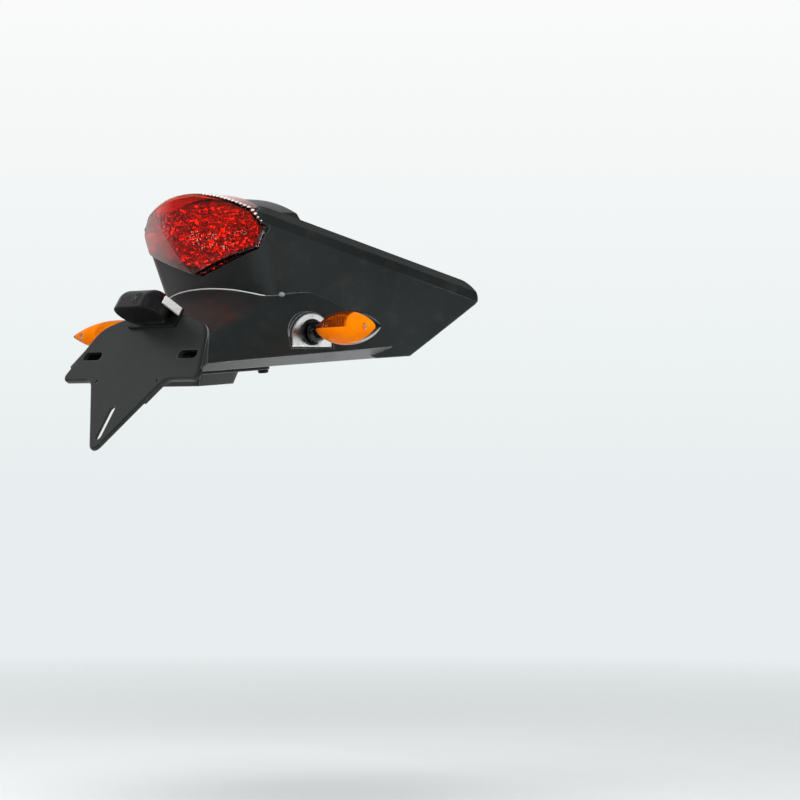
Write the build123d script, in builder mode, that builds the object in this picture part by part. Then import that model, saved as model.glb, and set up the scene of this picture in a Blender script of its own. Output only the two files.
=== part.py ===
"""Tail tidy: a moulded tail cowl with a fishtail number-plate carrier, its lights and indicators.

Frame: +X to the rider's right, +Y forward, +Z up. The origin is the centre of the four frame
fixings, on the top of their pads. Millimetres and degrees.
"""

import os
from math import cos, radians, sin, tan

from build123d import *

os.makedirs("parts", exist_ok=True)

# Moulding
wall = 3.0
floor_drop = 11.5
floor_slope = 4.1
strip_width = 8.0

# Frame fixings: a rectangle of sleeved pads standing on the floor
fixing_pitch_x = 84.0
fixing_pitch_y = 50.0
fixing_hole_d = 6.6
sleeve_od = 10.0
sleeve_gap = 0.1
sleeve_length = 8.0
pad_d = 19.0
pad_recess_d = 14.0

# Cowl: sections lie parallel to its sloping top edge
light_tip_y = -58.0
light_tip_z = 45.0
cowl_top_above_tip = 46.8
cowl_top_slope = 17.0
cowl_bevel_depth = 13.0
cowl_bevel_inset = 3.0
cowl_crown_depth = 6.0
cowl_crown_inset = 9.0
cowl_depth = 70.0
cowl_reach = 195.0
cowl_corner_r = 14.0
cowl_rear_upper = -9.0
cowl_rear_lower = 30.0
cowl_corner_x_upper = 64.5
cowl_corner_y_upper = -3.0
cowl_corner_x_lower = 55.5
cowl_corner_y_lower = 38.0
cowl_front_half_upper = 100.5
cowl_front_half_lower = 89.0
seam_top_y = 114.0
seam_bottom_y = 56.0
seam_corner_r = 10.0

# Number-plate carrier: its outer face passes through the middle of the two bolt slots
plate_y = -110.2
plate_z = -7.8
plate_tilt = 31.5
plate_depth = 3.6
plate_skin = 2.4
plate_rim = 2.5
plate_edge_r = 1.6
plate_apex_up = 34.0
plate_shoulder_half = 60.0
plate_shoulder_up = 21.0
plate_shoulder_r = 20.0
plate_wing_half = 77.0
plate_wing_down = 19.0
plate_wing_r = 4.0
tail_root_half = 42.0
tail_root_r = 12.0
tail_point_down = 77.0
tail_tip_r = 7.0
slot_pitch = 107.0
slot_length = 21.0
slot_width = 6.5
marker_slot_down = 52.0
marker_slot_length = 26.0
marker_slot_width = 6.5
plate_pin_half = 34.0
plate_pin_down = 20.0
plate_pin_d = 3.0

# Shelf that joins the carrier to the cowl, at its forward end inside the cowl
shelf_down = 14.5
shelf_front_y = 118.0
shelf_front_half = 76.0
shelf_front_shoulder_half = 70.8
shelf_front_shoulder_z = 90.0
shelf_front_apex_z = 122.0

# Indicator bosses
boss_face_x = 73.0
boss_y = -24.6
boss_z = 7.2
boss_half = 17.5
boss_rise = 13.6
boss_foot = 10.6
boss_reach = 40.0
stud_hole_d = 8.4

# Hatch in the floor and its cover
hatch_length = 46.0
hatch_half = 47.0
hatch_y = -76.0
cover_lap = 10.0
cover_thickness = 2.5
cover_dish = 8.0
cover_dish_inset = 3.0
cover_dish_taper = 30.0
cover_corner_r = 6.0
cover_screw_inset = 4.8
cover_screw_d = 3.1
cover_screw_length = 8.0
cover_head_d = 7.0
cover_head_height = 2.2
cover_boss_d = 8.0
cover_boss_height = 7.0
screw_gap = 0.2

# Tail light, measured from the bottom tip of its outline
light_corner_half = 67.0
light_corner_up = 31.0
light_keel_half = 59.5
light_keel_up = 16.0
light_top_half = 56.0
light_top_up = 43.5
light_apex_up = 55.5
light_tip_r = 5.0
light_corner_r = 5.0
light_gap = 0.5
light_opening_depth = 35.0
lens_dome_r = 180.0
lens_proud = 14.0
lens_bow_r = 110.0
lens_bow_up = 40.0
lens_wall = 2.5
lens_edge_r = 2.0
lens_rim_depth = 8.0
housing_depth = 30.0
housing_wall = 2.5
housing_inset = 2.0
reflector_gap = 0.5
reflector_front = 1.5
reflector_depth = 12.0
cup_front_r = 4.5
cup_back_r = 2.4
cup_depth = 9.0
led_pitch = 15.0
led_row_pitch = 9.2
led_first_up = 15.0
led_rows = (3, 7, 7, 3)
led_r = 1.8
led_height = 4.0
led_chamfer = 0.8
board_thickness = 1.6
post_half = 34.0
post_up = -1.0
post_d = 9.0
post_end = 30.0
ear_width = 11.0
ear_height = 24.0
ear_thickness = 2.5
ear_screw_d = 3.1
ear_screw_length = 12.0
ear_head_d = 7.0
ear_head_height = 2.2

# Number-plate lamp, measured on the carrier's face
bracket_half = 26.0
bracket_sheet = 2.0
bracket_top_up = 34.5
bracket_flange = 13.5
bracket_reach = 17.0
bracket_return = 5.5
bracket_screw_half = 12.0
bracket_screw_up = 26.5
bracket_screw_d = 4.0
bracket_screw_length = 9.0
bracket_head_d = 7.0
bracket_head_height = 1.5
bracket_nut_width = 7.0
bracket_nut_height = 3.2
hood_length = 46.0
hood_width = 22.0
hood_height = 17.0
hood_edge_r = 10.0
hood_wall = 2.0
hood_up = 22.5
hood_out = 13.3
hood_slot_gap = 0.3
window_gap = 0.2
window_thickness = 2.0
lamp_board_gap = 0.6
lamp_board_rise = 4.0
lamp_board_thickness = 1.5
chip_size = 3.0
chip_height = 0.8
chip_pitch = 10.0
hood_screw_out = 11.0
hood_screw_d = 3.0
hood_screw_length = 7.5
hood_head_d = 6.0
hood_head_height = 1.8
hood_seat_down = 3.0
hood_nut_width = 5.5
hood_nut_height = 2.4

# Indicators, measured outboard from the boss face along the stud
adaptor_thickness = 2.0
adaptor_inset = 1.0
stem_start = 2.0
stem_end = 10.0
stem_flange_r = 7.4
stem_flange_width = 1.2
stem_waist_r = 7.2
stem_end_r = 5.4
stud_d = 8.0
stud_bore = 4.6
stud_inner = 12.0
stud_outer = 8.0
stem_gap = 0.1
washer_d = 15.0
washer_thickness = 1.5
nut_width = 13.0
nut_height = 5.0
pod_start = 10.6
pod_length = 88.0
pod_r = 11.0
pod_wall = 2.0
pod_tip_r = 0.8
pod_hollow_start = 15.0
pod_tip_solid = 17.6
pod_hollow_length = pod_start + pod_length - pod_tip_solid - pod_hollow_start
pod_back = 1.0
pod_sweep = 11.5
pod_lift = 1.5
pod_split = 2.0
pod_neck_end = 24.0
pod_wire_d = 3.6
mirror_wall = 0.8
mirror_gap = 0.15
mirror_start = 30.0
mirror_tip_gap = 9.0
mirror_end = pod_hollow_start + pod_hollow_length - mirror_tip_gap
bulb_base_r = 4.0
bulb_base_start = 23.9
bulb_neck_start = 27.0
bulb_neck_r = 3.0
bulb_glass_start = 30.5
bulb_glass_r = 4.2
bulb_end = 43.5
bulb_tip_r = 0.6
pod_screw_inset = 11.6
pod_screw_at = pod_start + pod_length - pod_screw_inset
pod_screw_d = 2.4
pod_screw_seat = 3.6
pod_screw_length = 6.0
pod_head_d = 4.0
pod_head_height = 1.4

floor_up = Vector(0, -sin(radians(floor_slope)), cos(radians(floor_slope)))
floor_plane = Plane(origin=(0, 0, -floor_drop), x_dir=(1, 0, 0), z_dir=floor_up)
cowl_up = Vector(0, sin(radians(cowl_top_slope)), cos(radians(cowl_top_slope)))
cowl_plane = Plane(
    origin=(0, light_tip_y, light_tip_z + cowl_top_above_tip),
    x_dir=(1, 0, 0),
    z_dir=cowl_up,
)
plate_out = Vector(0, -cos(radians(plate_tilt)), sin(radians(plate_tilt)))
plate_plane = Plane(origin=(0, plate_y, plate_z), x_dir=(1, 0, 0), z_dir=plate_out)


def floor_z(y):
    """Height of the floor's outer face at a distance y along the part."""
    return -floor_drop + y * tan(radians(floor_slope))


def cowl_top_z(y):
    """Height of the cowl's top edge at a distance y along the part."""
    top = light_tip_z + cowl_top_above_tip
    return top - (y - light_tip_y) * tan(radians(cowl_top_slope))


def cowl_section(level, rear, corner_x, corner_y, front_half, bevel, inset):
    """One outline of the cowl, in a plane parallel to its top edge."""
    with BuildSketch(cowl_plane.offset(level)) as section:
        with BuildLine():
            tail = ThreePointArc((-corner_x, corner_y), (0, rear), (corner_x, corner_y))
            Polyline(tail @ 1, (front_half, cowl_reach), (-front_half, cowl_reach), tail @ 0)
        make_face()
        if bevel + inset:
            offset(amount=-bevel - inset, kind=Kind.INTERSECTION)
        fillet(section.vertices().sort_by(Axis.Y)[:2], radius=cowl_corner_r - inset)
    return section.sketch.face()


def cowl_sections(inset):
    """The cowl's outlines: below the shelf, under the bevel, over it, and above the top edge."""
    lower = (cowl_rear_lower, cowl_corner_x_lower, cowl_corner_y_lower, cowl_front_half_lower)
    upper = (cowl_rear_upper, cowl_corner_x_upper, cowl_corner_y_upper, cowl_front_half_upper)
    above = 2 * cowl_crown_inset - cowl_bevel_inset
    return [
        cowl_section(-cowl_depth, *lower, 0, inset),
        cowl_section(-cowl_bevel_depth, *upper, 0, inset),
        cowl_section(-cowl_crown_depth, *upper, cowl_bevel_inset, inset),
        cowl_section(cowl_crown_depth, *upper, above, inset),
    ]


def shelf_rear_section(depth, inset):
    """The shelf's outline where it meets the carrier, as deep behind the face as given."""
    with BuildSketch(plate_plane.offset(-depth)) as section:
        with BuildLine():
            foot = Polyline(
                (plate_shoulder_half, plate_shoulder_up),
                (plate_wing_half, strip_width - shelf_down),
                (plate_wing_half - strip_width, -shelf_down),
                (strip_width - plate_wing_half, -shelf_down),
                (-plate_wing_half, strip_width - shelf_down),
                (-plate_shoulder_half, plate_shoulder_up),
            )
            ThreePointArc(foot @ 1, (0, plate_apex_up), foot @ 0)
        make_face()
        fillet(section.vertices().sort_by(Axis.Y)[-2:], radius=plate_shoulder_r)
        if inset:
            offset(amount=-inset)
    return section.sketch.face()


def shelf_front_section(inset):
    """The shelf's outline at its forward end, in an upright plane."""
    base = floor_z(shelf_front_y)
    with BuildSketch(Plane.XZ.offset(-shelf_front_y)) as section:
        with BuildLine():
            foot = Polyline(
                (shelf_front_shoulder_half, shelf_front_shoulder_z),
                (shelf_front_half, base + strip_width),
                (shelf_front_half - strip_width, base),
                (strip_width - shelf_front_half, base),
                (-shelf_front_half, base + strip_width),
                (-shelf_front_shoulder_half, shelf_front_shoulder_z),
            )
            ThreePointArc(foot @ 1, (0, shelf_front_apex_z), foot @ 0)
        make_face()
        fillet(section.vertices().sort_by(Axis.Y)[-2:], radius=plate_shoulder_r)
        if inset:
            offset(amount=-inset)
    return section.sketch.face()


def carrier_outline(inset):
    """The carrier's face: shoulders, wings and the fishtail, pulled in by the inset."""
    with BuildSketch(plate_plane) as section:
        with BuildLine():
            edge = Polyline(
                (plate_shoulder_half, plate_shoulder_up),
                (plate_wing_half, -plate_wing_down),
                (tail_root_half, -plate_wing_down),
                (0, -tail_point_down),
                (-tail_root_half, -plate_wing_down),
                (-plate_wing_half, -plate_wing_down),
                (-plate_shoulder_half, plate_shoulder_up),
            )
            ThreePointArc(edge @ 1, (0, plate_apex_up), edge @ 0)
        make_face()
        fillet(section.vertices().sort_by(Axis.Y)[-2:], radius=plate_shoulder_r)
        fillet(section.vertices().sort_by(Axis.X)[:1], radius=plate_wing_r)
        fillet(section.vertices().sort_by(Axis.X)[-1:], radius=plate_wing_r)
        fillet(section.vertices().sort_by(Axis.Y)[:1], radius=tail_tip_r)
        for side in (-1, 1):
            root = (side * tail_root_half, -plate_wing_down)
            fillet(section.vertices().sort_by_distance(root)[:1], radius=tail_root_r)
        if inset:
            offset(amount=-inset)
    return section.sketch.face()


def boss_plane(x):
    """Upright plane across a right-hand indicator's stud, seen from outboard."""
    return Plane(origin=(x, boss_y, boss_z), x_dir=(0, 1, 0), z_dir=(1, 0, 0))


def boss_outline(x, inset):
    """The arch of the right-hand indicator boss, as far outboard as given."""
    with BuildSketch(boss_plane(x)) as section:
        with BuildLine():
            foot = Polyline(
                (boss_half - inset, 0),
                (boss_half - inset, inset - boss_foot),
                (inset - boss_half, inset - boss_foot),
                (inset - boss_half, 0),
            )
            ThreePointArc(foot @ 1, (0, boss_rise - inset), foot @ 0)
        make_face()
    return section.sketch.face()


def light_plane(forward):
    """Upright plane across the tail light, as far forward of its tip as given, seen from behind."""
    origin = (0, light_tip_y + forward, light_tip_z)
    return Plane(origin=origin, x_dir=(1, 0, 0), z_dir=(0, -1, 0))


def light_outline(forward, inset):
    """The tail light's shield outline, as far forward of its tip as given."""
    with BuildSketch(light_plane(forward)) as section:
        with BuildLine():
            shield = Polyline(
                (light_top_half, light_top_up),
                (light_corner_half, light_corner_up),
                (light_keel_half, light_keel_up),
                (0, 0),
                (-light_keel_half, light_keel_up),
                (-light_corner_half, light_corner_up),
                (-light_top_half, light_top_up),
            )
            ThreePointArc(shield @ 1, (0, light_apex_up), shield @ 0)
        make_face()
        fillet(section.vertices().sort_by(Axis.Y)[:1], radius=light_tip_r)
        for side in (-1, 1):
            keel = (side * light_keel_half, light_keel_up)
            fillet(section.vertices().sort_by_distance(keel)[:1], radius=light_corner_r)
        fillet(section.vertices().sort_by(Axis.X)[:1], radius=light_corner_r)
        fillet(section.vertices().sort_by(Axis.X)[-1:], radius=light_corner_r)
        fillet(section.vertices().sort_by(Axis.Y)[-2:], radius=light_corner_r)
        if inset:
            offset(amount=-inset)
    return section.sketch.face()


def lens_barrel(inset):
    """Half outline of the barrel that the lens's face is part of, standing on its upright axis."""
    axis_y = light_tip_y - lens_proud + lens_dome_r
    plane = Plane(
        origin=(0, axis_y, light_tip_z + lens_bow_up), x_dir=(0, -1, 0), z_dir=(-1, 0, 0)
    )
    top = light_apex_up
    sag = lens_bow_r - (lens_bow_r**2 - top**2) ** 0.5
    with BuildSketch(plane) as section:
        with BuildLine():
            edge = ThreePointArc(
                (lens_dome_r - inset - sag, -top),
                (lens_dome_r - inset, 0),
                (lens_dome_r - inset - sag, top),
            )
            Polyline(edge @ 1, (0, top), (0, -top), edge @ 0)
        make_face()
    return section.sketch.face()


def lamp_plane(up, out):
    """Plane across the plate lamp: it looks up the carrier, its local y towards the carrier."""
    origin = plate_plane.from_local_coords((0, up, out))
    return Plane(origin=origin, x_dir=(1, 0, 0), z_dir=plate_plane.y_dir)


def lamp_outline(up, inset):
    """The lamp's rounded outline at a height up the carrier."""
    with BuildSketch(lamp_plane(up, hood_out)) as section:
        SlotOverall(hood_length - 2 * inset, hood_width - 2 * inset)
    return section.sketch.face()


def pod_profile(start, length, radius):
    """Half outline of the indicator's spindle, standing on its own long axis."""
    with BuildSketch(pod_plane) as section:
        with BuildLine():
            ends = Polyline(
                (start, pod_tip_r), (start, 0), (start + length, 0), (start + length, pod_tip_r)
            )
            ThreePointArc(ends @ 0, (start + length / 2, radius), ends @ 1)
        make_face()
    return section.sketch.face()


fixing_spots = [
    (side * fixing_pitch_x / 2, end * fixing_pitch_y / 2) for side in (-1, 1) for end in (-1, 1)
]
cover_screw_half = hatch_half + cover_lap - cover_screw_inset
cover_screw_along = hatch_length / 2 + cover_lap - cover_screw_inset
hatch_plane = floor_plane.shift_origin((0, hatch_y, floor_z(hatch_y)))
hatch_axis = Axis(hatch_plane.origin, hatch_plane.z_dir)
cover_screw_spots = [
    (side * cover_screw_half, end * cover_screw_along) for side in (-1, 1) for end in (-1, 1)
]
lens_axis = Axis((0, light_tip_y - lens_proud + lens_dome_r, 0), (0, 0, 1))
post_plane = light_plane(post_end)
post_spots = [(side * post_half, post_up) for side in (-1, 1)]
plate_axis = Axis(plate_plane.origin, plate_plane.z_dir)
plate_up_axis = Axis(plate_plane.origin, plate_plane.y_dir)
bracket_screw_spots = [(side * bracket_screw_half, bracket_screw_up) for side in (-1, 1)]
led_spots = [
    ((place - (count - 1) / 2) * led_pitch, led_first_up + row * led_row_pitch)
    for row, count in enumerate(led_rows)
    for place in range(count)
]
far = 2 * plate_y
pod_out = Vector(cos(radians(pod_sweep)), -sin(radians(pod_sweep)), 0)
pod_rear = Vector(-sin(radians(pod_sweep)), -cos(radians(pod_sweep)), 0)
pod_plane = Plane(
    origin=(boss_face_x, boss_y - pod_back, boss_z + pod_lift), x_dir=pod_out, z_dir=pod_rear
)
pod_axis = Axis(pod_plane.origin, pod_plane.x_dir)
pod_rear_axis = Axis(pod_plane.origin, pod_plane.z_dir)
pod_split_plane = pod_plane.offset(pod_split)
pod_screw_plane = Plane(
    origin=pod_plane.from_local_coords((pod_screw_at, 0, pod_screw_seat)),
    x_dir=pod_out,
    z_dir=pod_rear,
)
mirror_plane = Plane(
    origin=pod_plane.from_local_coords((mirror_start, 0, 0)), x_dir=(0, 0, 1), z_dir=pod_out
)
stem_plane = Plane(origin=(boss_face_x, boss_y, boss_z), x_dir=(1, 0, 0), z_dir=(0, -1, 0))
stud_axis = Axis(stem_plane.origin, (1, 0, 0))

# Fishtail carrier with a raised rim behind it
with BuildPart() as carrier:
    extrude(carrier_outline(0), amount=-plate_depth)
    fillet(carrier.faces().sort_by(plate_axis)[-1].edges(), radius=plate_edge_r)
    with BuildSketch(plate_plane.offset(-plate_depth)):
        add(carrier_outline(plate_rim).moved(Location(-plate_depth * plate_out)))
    extrude(amount=plate_depth - plate_skin, mode=Mode.SUBTRACT)

# Space inside the moulding, less the pads, posts and screw bosses left standing in it
with BuildPart() as hollow:
    loft(sections=cowl_sections(wall), ruled=True)
    rear = shelf_rear_section(plate_depth, wall)
    loft(sections=[rear, shelf_front_section(wall)], ruled=True)
    with BuildSketch(Plane.YZ):
        with BuildLine():
            Polyline(
                (far, floor_z(far) + wall),
                (-far, floor_z(-far) + wall),
                (-far, -far),
                (far, -far),
                close=True,
            )
        make_face()
    extrude(amount=cowl_reach, both=True, mode=Mode.INTERSECT)
    for side in (-1, 1):
        arch = boss_outline(boss_face_x - wall, wall)
        if side < 0:
            arch = arch.mirror(Plane.YZ)
        extrude(arch, amount=-boss_reach, dir=(side, 0, 0))
    with BuildSketch(Plane.XY):
        with Locations(*fixing_spots):
            Circle(pad_d / 2)
    extrude(amount=-2 * floor_drop, mode=Mode.SUBTRACT)
    with BuildSketch(hatch_plane):
        with Locations(*cover_screw_spots):
            Circle(cover_boss_d / 2)
    extrude(amount=cover_boss_height, mode=Mode.SUBTRACT)
    with BuildSketch(post_plane):
        with Locations(*post_spots):
            Circle(post_d / 2)
    extrude(amount=post_end, mode=Mode.SUBTRACT)

with BuildPart() as tail_body:
    loft(sections=cowl_sections(0), ruled=True)
    rear = shelf_rear_section((plate_edge_r + plate_skin) / 2, 0)
    loft(sections=[rear, shelf_front_section(0)], ruled=True)
    with BuildSketch(Plane.YZ) as side_view:
        with BuildLine():
            Polyline(
                (far, floor_z(far)),
                (seam_bottom_y, floor_z(seam_bottom_y)),
                (seam_top_y, cowl_top_z(seam_top_y)),
                (far, cowl_top_z(far)),
                close=True,
            )
        make_face()
        fillet(side_view.vertices().sort_by(Axis.X)[-1:], radius=seam_corner_r)
    extrude(amount=cowl_reach, both=True, mode=Mode.INTERSECT)
    add(carrier.part)
    for side in (-1, 1):
        arch = boss_outline(boss_face_x, 0)
        if side < 0:
            arch = arch.mirror(Plane.YZ)
        extrude(arch, amount=-boss_reach / 2, dir=(side, 0, 0))
        extrude(arch, amount=boss_reach, dir=(side, 0, 0), mode=Mode.SUBTRACT)
    add(hollow.part, mode=Mode.SUBTRACT)
    lens_back = lens_rim_depth + light_gap
    extrude(light_outline(lens_back, 0), amount=4 * lens_rim_depth, mode=Mode.SUBTRACT)
    extrude(
        light_outline(light_opening_depth, housing_inset),
        amount=light_opening_depth,
        mode=Mode.SUBTRACT,
    )
    with BuildSketch(Plane.XY):
        with Locations(*fixing_spots):
            Circle(sleeve_od / 2 + sleeve_gap)
    extrude(amount=-2 * floor_drop, mode=Mode.SUBTRACT)
    with BuildSketch(Plane.XY.offset(-sleeve_length)):
        with Locations(*fixing_spots):
            Circle(pad_recess_d / 2)
    extrude(amount=-2 * floor_drop, mode=Mode.SUBTRACT)
    with BuildSketch(hatch_plane):
        RectangleRounded(2 * hatch_half, hatch_length, cover_corner_r)
    extrude(amount=wall, both=True, mode=Mode.SUBTRACT)
    with BuildSketch(hatch_plane):
        with Locations(*cover_screw_spots):
            Circle(cover_screw_d / 2 + screw_gap)
    extrude(amount=cover_boss_height, mode=Mode.SUBTRACT)
    with BuildSketch(post_plane):
        with Locations(*post_spots):
            Circle(ear_screw_d / 2 + screw_gap)
    extrude(amount=ear_screw_length, mode=Mode.SUBTRACT)
    with BuildSketch(plate_plane):
        with Locations((-slot_pitch / 2, 0), (slot_pitch / 2, 0)):
            SlotOverall(slot_length, slot_width)
        with Locations((0, -marker_slot_down)):
            SlotOverall(marker_slot_length, marker_slot_width, rotation=90)
        with Locations((-plate_pin_half, -plate_pin_down), (plate_pin_half, -plate_pin_down)):
            Circle(plate_pin_d / 2)
        with Locations(*bracket_screw_spots):
            Circle(bracket_screw_d / 2 + screw_gap)
    extrude(amount=-2 * plate_depth, mode=Mode.SUBTRACT)
    with BuildSketch(boss_plane(0)):
        Circle(stud_hole_d / 2)
    extrude(amount=2 * boss_face_x, both=True, mode=Mode.SUBTRACT)

# Fixing sleeves, flush with the tops of their pads
with BuildPart() as mounting_sleeves:
    with BuildSketch(Plane.XY):
        with Locations(*fixing_spots):
            Circle(sleeve_od / 2)
            Circle(fixing_hole_d / 2, mode=Mode.SUBTRACT)
    extrude(amount=-sleeve_length)

# Dished hatch cover under the floor
with BuildPart() as under_cover:
    with BuildSketch(hatch_plane):
        RectangleRounded(
            2 * (hatch_half + cover_lap), hatch_length + 2 * cover_lap, cover_corner_r
        )
    extrude(amount=-cover_thickness)
    fillet(under_cover.edges().group_by(hatch_axis)[0], radius=cover_thickness / 3)
    with BuildSketch(hatch_plane):
        RectangleRounded(
            2 * (hatch_half - cover_dish_inset), hatch_length - 2 * cover_dish_inset, cover_corner_r
        )
    extrude(amount=-cover_dish - cover_thickness, taper=cover_dish_taper)
    with BuildSketch(hatch_plane):
        RectangleRounded(
            2 * (hatch_half - cover_dish_inset - cover_thickness),
            hatch_length - 2 * (cover_dish_inset + cover_thickness),
            cover_corner_r - cover_thickness,
        )
    extrude(amount=-cover_dish, taper=cover_dish_taper, mode=Mode.SUBTRACT)
    with BuildSketch(hatch_plane):
        with Locations(*cover_screw_spots):
            Circle(cover_screw_d / 2 + screw_gap)
    extrude(amount=-2 * cover_thickness, mode=Mode.SUBTRACT)

with BuildPart() as under_cover_screws:
    with BuildSketch(hatch_plane.offset(-cover_thickness)):
        with Locations(*cover_screw_spots):
            Circle(cover_head_d / 2)
    extrude(amount=-cover_head_height)
    chamfer(under_cover_screws.edges().group_by(hatch_axis)[0], length=cover_head_height / 3)
    with BuildSketch(hatch_plane.offset(-cover_thickness)):
        with Locations(*cover_screw_spots):
            Circle(cover_screw_d / 2)
    extrude(amount=cover_screw_length)

# Space behind the tail light's lens
with BuildPart() as lens_inside:
    extrude(light_outline(lens_rim_depth, light_gap + lens_wall), amount=4 * lens_rim_depth)
    revolve(lens_barrel(lens_wall), axis=lens_axis, mode=Mode.INTERSECT)

with BuildPart() as tail_light_lens:
    extrude(light_outline(lens_rim_depth, light_gap), amount=4 * lens_rim_depth)
    revolve(lens_barrel(0), axis=lens_axis, mode=Mode.INTERSECT)
    fillet(tail_light_lens.faces().sort_by(Axis.Y)[0].edges(), radius=lens_edge_r)
    add(lens_inside.part, mode=Mode.SUBTRACT)

with BuildPart() as tail_light_housing:
    extrude(light_outline(lens_rim_depth, light_gap + housing_inset), amount=-housing_depth)
    fillet(tail_light_housing.faces().sort_by(Axis.Y)[-1].edges(), radius=housing_wall)
    with BuildSketch(post_plane):
        for side in (-1, 1):
            with Locations((side * post_half, post_up + ear_height / 2 - ear_width / 2)):
                RectangleRounded(ear_width, ear_height, ear_width / 3)
    extrude(amount=-ear_thickness)
    inside = light_gap + housing_inset + housing_wall
    extrude(
        light_outline(lens_rim_depth, inside),
        amount=housing_wall - housing_depth,
        mode=Mode.SUBTRACT,
    )
    with BuildSketch(post_plane):
        with Locations(*post_spots):
            Circle(ear_screw_d / 2 + screw_gap)
    extrude(amount=-ear_thickness, mode=Mode.SUBTRACT)

with BuildPart() as tail_light_screws:
    with BuildSketch(post_plane.offset(-ear_thickness)):
        with Locations(*post_spots):
            Circle(ear_head_d / 2)
    extrude(amount=-ear_head_height)
    chamfer(tail_light_screws.edges().group_by(Axis.Y)[-1], length=ear_head_height / 3)
    with BuildSketch(post_plane.offset(-ear_thickness)):
        with Locations(*post_spots):
            Circle(ear_screw_d / 2)
    extrude(amount=ear_screw_length)

reflector_inset = light_gap + housing_inset + housing_wall + reflector_gap
light_back = reflector_front + reflector_depth

with BuildPart() as tail_light_reflector:
    extrude(light_outline(reflector_front, reflector_inset), amount=-reflector_depth)
    with Locations(light_plane(reflector_front + cup_depth / 2)):
        with Locations(*led_spots):
            Cone(cup_back_r, cup_front_r, cup_depth, mode=Mode.SUBTRACT)
    with BuildSketch(light_plane(reflector_front)):
        with Locations(*led_spots):
            Circle(cup_back_r)
    extrude(amount=-reflector_depth, mode=Mode.SUBTRACT)

with BuildPart() as tail_light_board:
    extrude(light_outline(light_back, reflector_inset), amount=-board_thickness)

with BuildPart() as tail_light_leds:
    with BuildSketch(light_plane(light_back)):
        with Locations(*led_spots):
            Circle(led_r)
    extrude(amount=led_height)
    chamfer(tail_light_leds.edges().group_by(Axis.Y)[0], length=led_chamfer)

# Number-plate lamp on its folded bracket
with BuildPart() as plate_lamp_bracket:
    with BuildSketch(plate_plane):
        with Locations((0, bracket_top_up - bracket_flange / 2)):
            Rectangle(2 * bracket_half, bracket_flange)
    extrude(amount=bracket_sheet)
    with BuildSketch(plate_plane):
        with Locations((0, bracket_top_up - bracket_sheet / 2)):
            Rectangle(2 * bracket_half, bracket_sheet)
        for side in (-1, 1):
            return_x = side * (bracket_half - bracket_sheet / 2)
            with Locations((return_x, bracket_top_up - bracket_return / 2)):
                Rectangle(bracket_sheet, bracket_return)
    extrude(amount=bracket_reach)
    with Locations(plate_plane.offset(bracket_sheet)):
        with Locations(*bracket_screw_spots):
            CounterSinkHole(
                radius=bracket_screw_d / 2 + screw_gap,
                counter_sink_radius=bracket_head_d / 2 + screw_gap,
                depth=bracket_sheet,
                counter_sink_angle=90,
            )
    with BuildSketch(lamp_plane(bracket_top_up, hood_screw_out)):
        Circle(hood_screw_d / 2 + screw_gap)
    extrude(amount=-bracket_sheet, mode=Mode.SUBTRACT)

with BuildPart() as plate_lamp_bracket_screws:
    sunk = (Align.CENTER, Align.CENTER, Align.MAX)
    with Locations(plate_plane.offset(bracket_sheet)):
        with Locations(*bracket_screw_spots):
            Cone(bracket_screw_d / 2, bracket_head_d / 2, bracket_head_height, align=sunk)
            Cylinder(bracket_screw_d / 2, bracket_screw_length, align=sunk)

with BuildPart() as plate_lamp_bracket_nuts:
    with BuildSketch(plate_plane.offset(-plate_depth)):
        with Locations(*bracket_screw_spots):
            RegularPolygon(bracket_nut_width / 2, 6, major_radius=False)
            Circle(bracket_screw_d / 2 + screw_gap / 2, mode=Mode.SUBTRACT)
    extrude(amount=-bracket_nut_height)

with BuildPart() as plate_lamp_hood:
    extrude(lamp_outline(hood_up, 0), amount=hood_height)
    fillet(plate_lamp_hood.faces().sort_by(plate_up_axis)[-1].edges(), radius=hood_edge_r)
    extrude(lamp_outline(hood_up, hood_wall), amount=hood_height - hood_edge_r, mode=Mode.SUBTRACT)
    with BuildSketch(plate_plane):
        with Locations((0, bracket_top_up - bracket_sheet / 2)):
            Rectangle(2 * bracket_half, bracket_sheet + 2 * hood_slot_gap)
    extrude(amount=bracket_reach + hood_slot_gap, mode=Mode.SUBTRACT)
    with BuildSketch(lamp_plane(bracket_top_up - bracket_sheet, hood_screw_out)):
        RegularPolygon(hood_nut_width / 2 + hood_slot_gap, 6, major_radius=False)
    extrude(amount=-hood_nut_height - bracket_return, mode=Mode.SUBTRACT)
    with BuildSketch(lamp_plane(hood_up + hood_height, hood_screw_out)):
        Circle(hood_screw_d / 2 + screw_gap)
    extrude(amount=-hood_height, mode=Mode.SUBTRACT)
    with BuildSketch(lamp_plane(hood_up + hood_height, hood_screw_out)):
        Circle(hood_head_d / 2 + screw_gap)
    extrude(amount=-hood_seat_down, mode=Mode.SUBTRACT)

with BuildPart() as plate_lamp_screw:
    seat = lamp_plane(hood_up + hood_height - hood_seat_down, hood_screw_out)
    with BuildSketch(seat):
        Circle(hood_head_d / 2)
    extrude(amount=hood_head_height)
    chamfer(plate_lamp_screw.edges().group_by(plate_up_axis)[-1], length=hood_head_height / 3)
    with BuildSketch(seat):
        Circle(hood_screw_d / 2)
    extrude(amount=-hood_screw_length)

with BuildPart() as plate_lamp_nut:
    with BuildSketch(lamp_plane(bracket_top_up - bracket_sheet, hood_screw_out)):
        RegularPolygon(hood_nut_width / 2, 6, major_radius=False)
        Circle(hood_screw_d / 2 + screw_gap / 2, mode=Mode.SUBTRACT)
    extrude(amount=-hood_nut_height)

with BuildPart() as plate_lamp_lens:
    extrude(lamp_outline(hood_up, hood_wall + window_gap), amount=window_thickness)

with BuildPart() as plate_lamp_board:
    rise = hood_up + lamp_board_rise
    extrude(lamp_outline(rise, hood_wall + lamp_board_gap), amount=lamp_board_thickness)

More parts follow.
